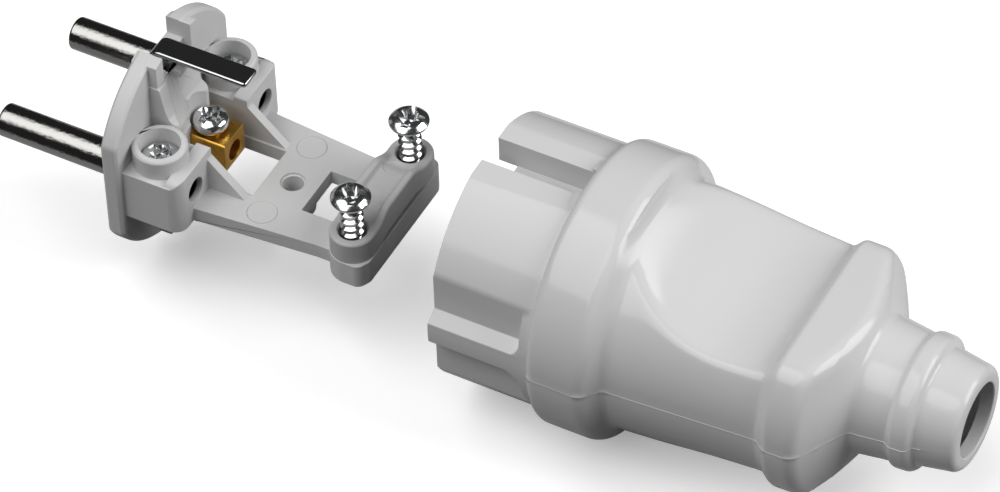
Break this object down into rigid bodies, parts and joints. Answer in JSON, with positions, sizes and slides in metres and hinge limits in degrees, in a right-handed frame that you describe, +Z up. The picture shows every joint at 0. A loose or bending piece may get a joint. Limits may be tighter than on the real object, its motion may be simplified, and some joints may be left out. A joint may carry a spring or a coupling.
{
  "type": "electrical plug",
  "caption": "Rewirable earthed mains plug with round pins, taken apart: a moulded carrier with terminals and a cord clamp, and a one-piece housing with thumb hollows and a cord nose.",
  "frame": {"origin": "on the plug's axis, in the carrier's front face, midway between the pins", "axes": "+X along the plug's axis from the pins towards the cord nose, +Y along the line of the pins to the far pin, +Z up, towards the upper earth contact"},
  "size_m": [0.1425, 0.0402, 0.0402],
  "materials": {
    "housing_plastic": "semi-gloss moulded",
    "carrier_plastic": "satin moulded",
    "clamp_plastic": "satin moulded",
    "pin_metal": "bright nickel plate",
    "strap_metal": "bright rolled strip",
    "terminal_brass": "machined",
    "screw_metal": "bright zinc plate"
  },
  "bodies": {
    "insert": {"carrier": "carrier_plastic", "clamp_bar": "clamp_plastic", "pin_near": "pin_metal", "pin_far": "pin_metal", "earth_strap": "strap_metal", "earth_terminal": "terminal_brass", "earth_terminal_screw": "screw_metal", "terminal_screw_near": "screw_metal", "terminal_screw_far": "screw_metal", "clamp_screw_near": "screw_metal", "clamp_screw_far": "screw_metal"},
    "housing": {"shell": "housing_plastic", "housing_screw": "screw_metal"}
  },
  "joints": [
    {"name": "housing_slide", "type": "slide", "parent": "insert", "child": "housing", "axis": [1, 0, 0], "range_m": [-0.049, 0]}
  ]
}
